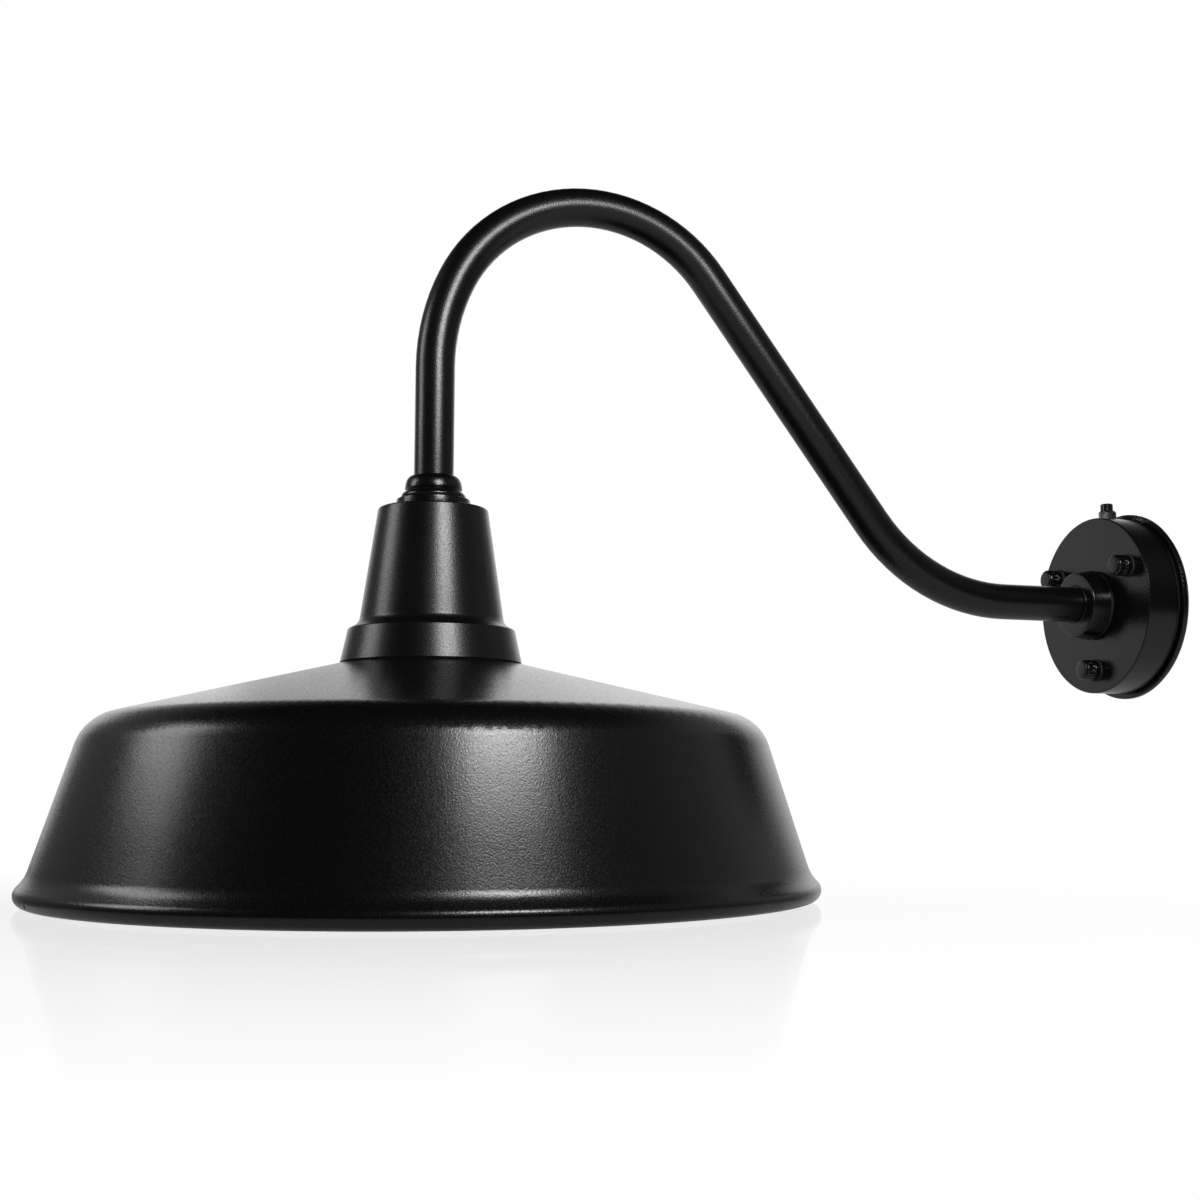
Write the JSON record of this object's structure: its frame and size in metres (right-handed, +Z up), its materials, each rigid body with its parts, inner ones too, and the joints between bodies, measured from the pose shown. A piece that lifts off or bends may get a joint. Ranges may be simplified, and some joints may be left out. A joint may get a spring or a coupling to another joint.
{
  "type": "gooseneck wall sconce",
  "caption": "Wall light with a wide shallow shade on a stepped neck, hung from a bent gooseneck pipe on a round canopy with cap nuts and a light sensor.",
  "frame": {"origin": "centre of the wall face, on the axis of the round canopy", "axes": "+Y into the wall, +Z up, the arm reaches out along -Y"},
  "size_m": [0.4049, 0.6417, 0.3937],
  "materials": {
    "black_powder": "satin black powder coat with a fine grain",
    "white_enamel": "gloss white enamel",
    "zinc_steel": "bright zinc plate",
    "green_screw": "green-dyed zinc plate",
    "bright_nut": "polished nickel plate",
    "black_rubber": "moulded rubber",
    "foam": "closed-cell foam",
    "porcelain": "glazed porcelain",
    "nickel_shell": "rolled thin shell",
    "brass_contact": "bright brass",
    "bulb_white": "moulded thermoplastic",
    "bulb_diffuser": "frosted diffuser",
    "dark_insulator": "dark glass-like insulator",
    "sensor_plastic": "moulded plastic",
    "sensor_lens": "smoked clear plastic",
    "insulation_black": "wire insulation",
    "insulation_white": "wire insulation",
    "insulation_green": "wire insulation",
    "insulation_red": "wire insulation",
    "connector_orange": "moulded plastic"
  },
  "bodies": {
    "root": {"wall_gasket": "foam", "mounting_plate": "black_powder", "canopy_gasket": "black_rubber", "canopy": "black_powder", "mounting_studs": "zinc_steel", "nut_washers": "black_rubber", "cap_nuts": "black_powder", "ground_screw": "green_screw", "gooseneck_arm": "black_powder", "collar_gasket": "black_rubber", "arm_collar": "black_powder", "canopy_lock_nut": "zinc_steel", "neck_lock_nut": "zinc_steel", "neck_housing": "black_powder", "cap_gasket": "black_rubber", "stepped_cap": "black_powder", "shade": "black_powder", "shade_gasket": "black_rubber", "shade_clamp_plate": "white_enamel", "clamp_screws": "zinc_steel", "holder_strap": "zinc_steel", "lamp_holder": "porcelain", "strap_screws": "zinc_steel", "bond_screw": "green_screw", "screw_shell": "nickel_shell", "centre_contact": "brass_contact", "bulb_tip": "nickel_shell", "bulb_insulator": "dark_insulator", "bulb_cap": "nickel_shell", "bulb_body": "bulb_white", "bulb_globe": "bulb_diffuser", "photocell_body": "sensor_plastic", "photocell_nut": "bright_nut", "photocell_lens": "sensor_lens", "wire_black": "insulation_black", "wire_white": "insulation_white", "wire_green": "insulation_green", "photocell_leads": "insulation_red", "wire_connectors": "connector_orange"}
  },
  "joints": []
}
